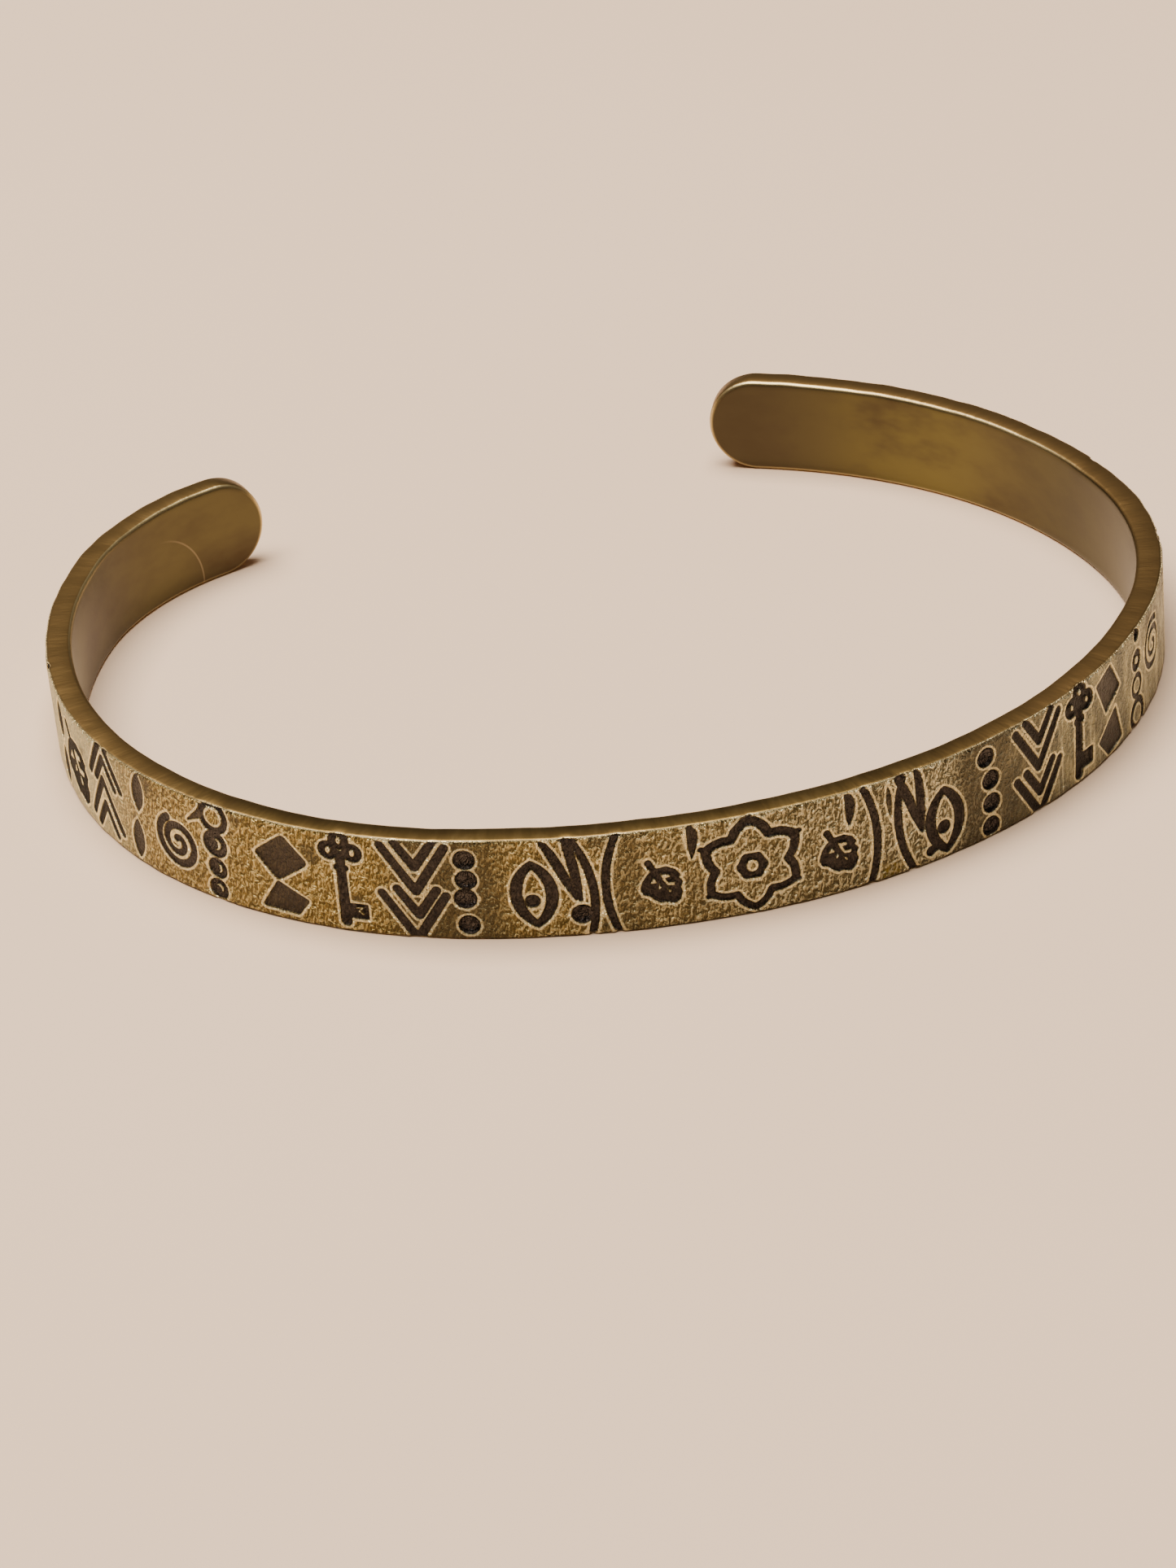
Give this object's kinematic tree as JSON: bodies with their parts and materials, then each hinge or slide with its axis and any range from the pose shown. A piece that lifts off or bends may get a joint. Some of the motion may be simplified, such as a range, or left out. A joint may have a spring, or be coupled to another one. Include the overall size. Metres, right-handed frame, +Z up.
{
  "type": "cuff bracelet",
  "caption": "Open oval cuff bracelet of flat brass strip with half-round tips, stamped outside with flower, key, eye, acorn, spiral, ring, lozenge and chevron marks.",
  "frame": {"origin": "middle of the bracelet's outline on the surface that it rests on, at the height of the lower edge", "axes": "+X across the wrist along the longer side of the oval, +Y from the middle of the strip towards the gap between the tips, +Z up the strip's height, along the wrist"},
  "size_m": [0.0672, 0.0564, 0.0063],
  "materials": {
    "antiqued_brass": "hand-stamped and satin worn, with dark patina left in the stamps"
  },
  "bodies": {
    "root": {"cuff_band": "antiqued_brass"}
  },
  "joints": []
}
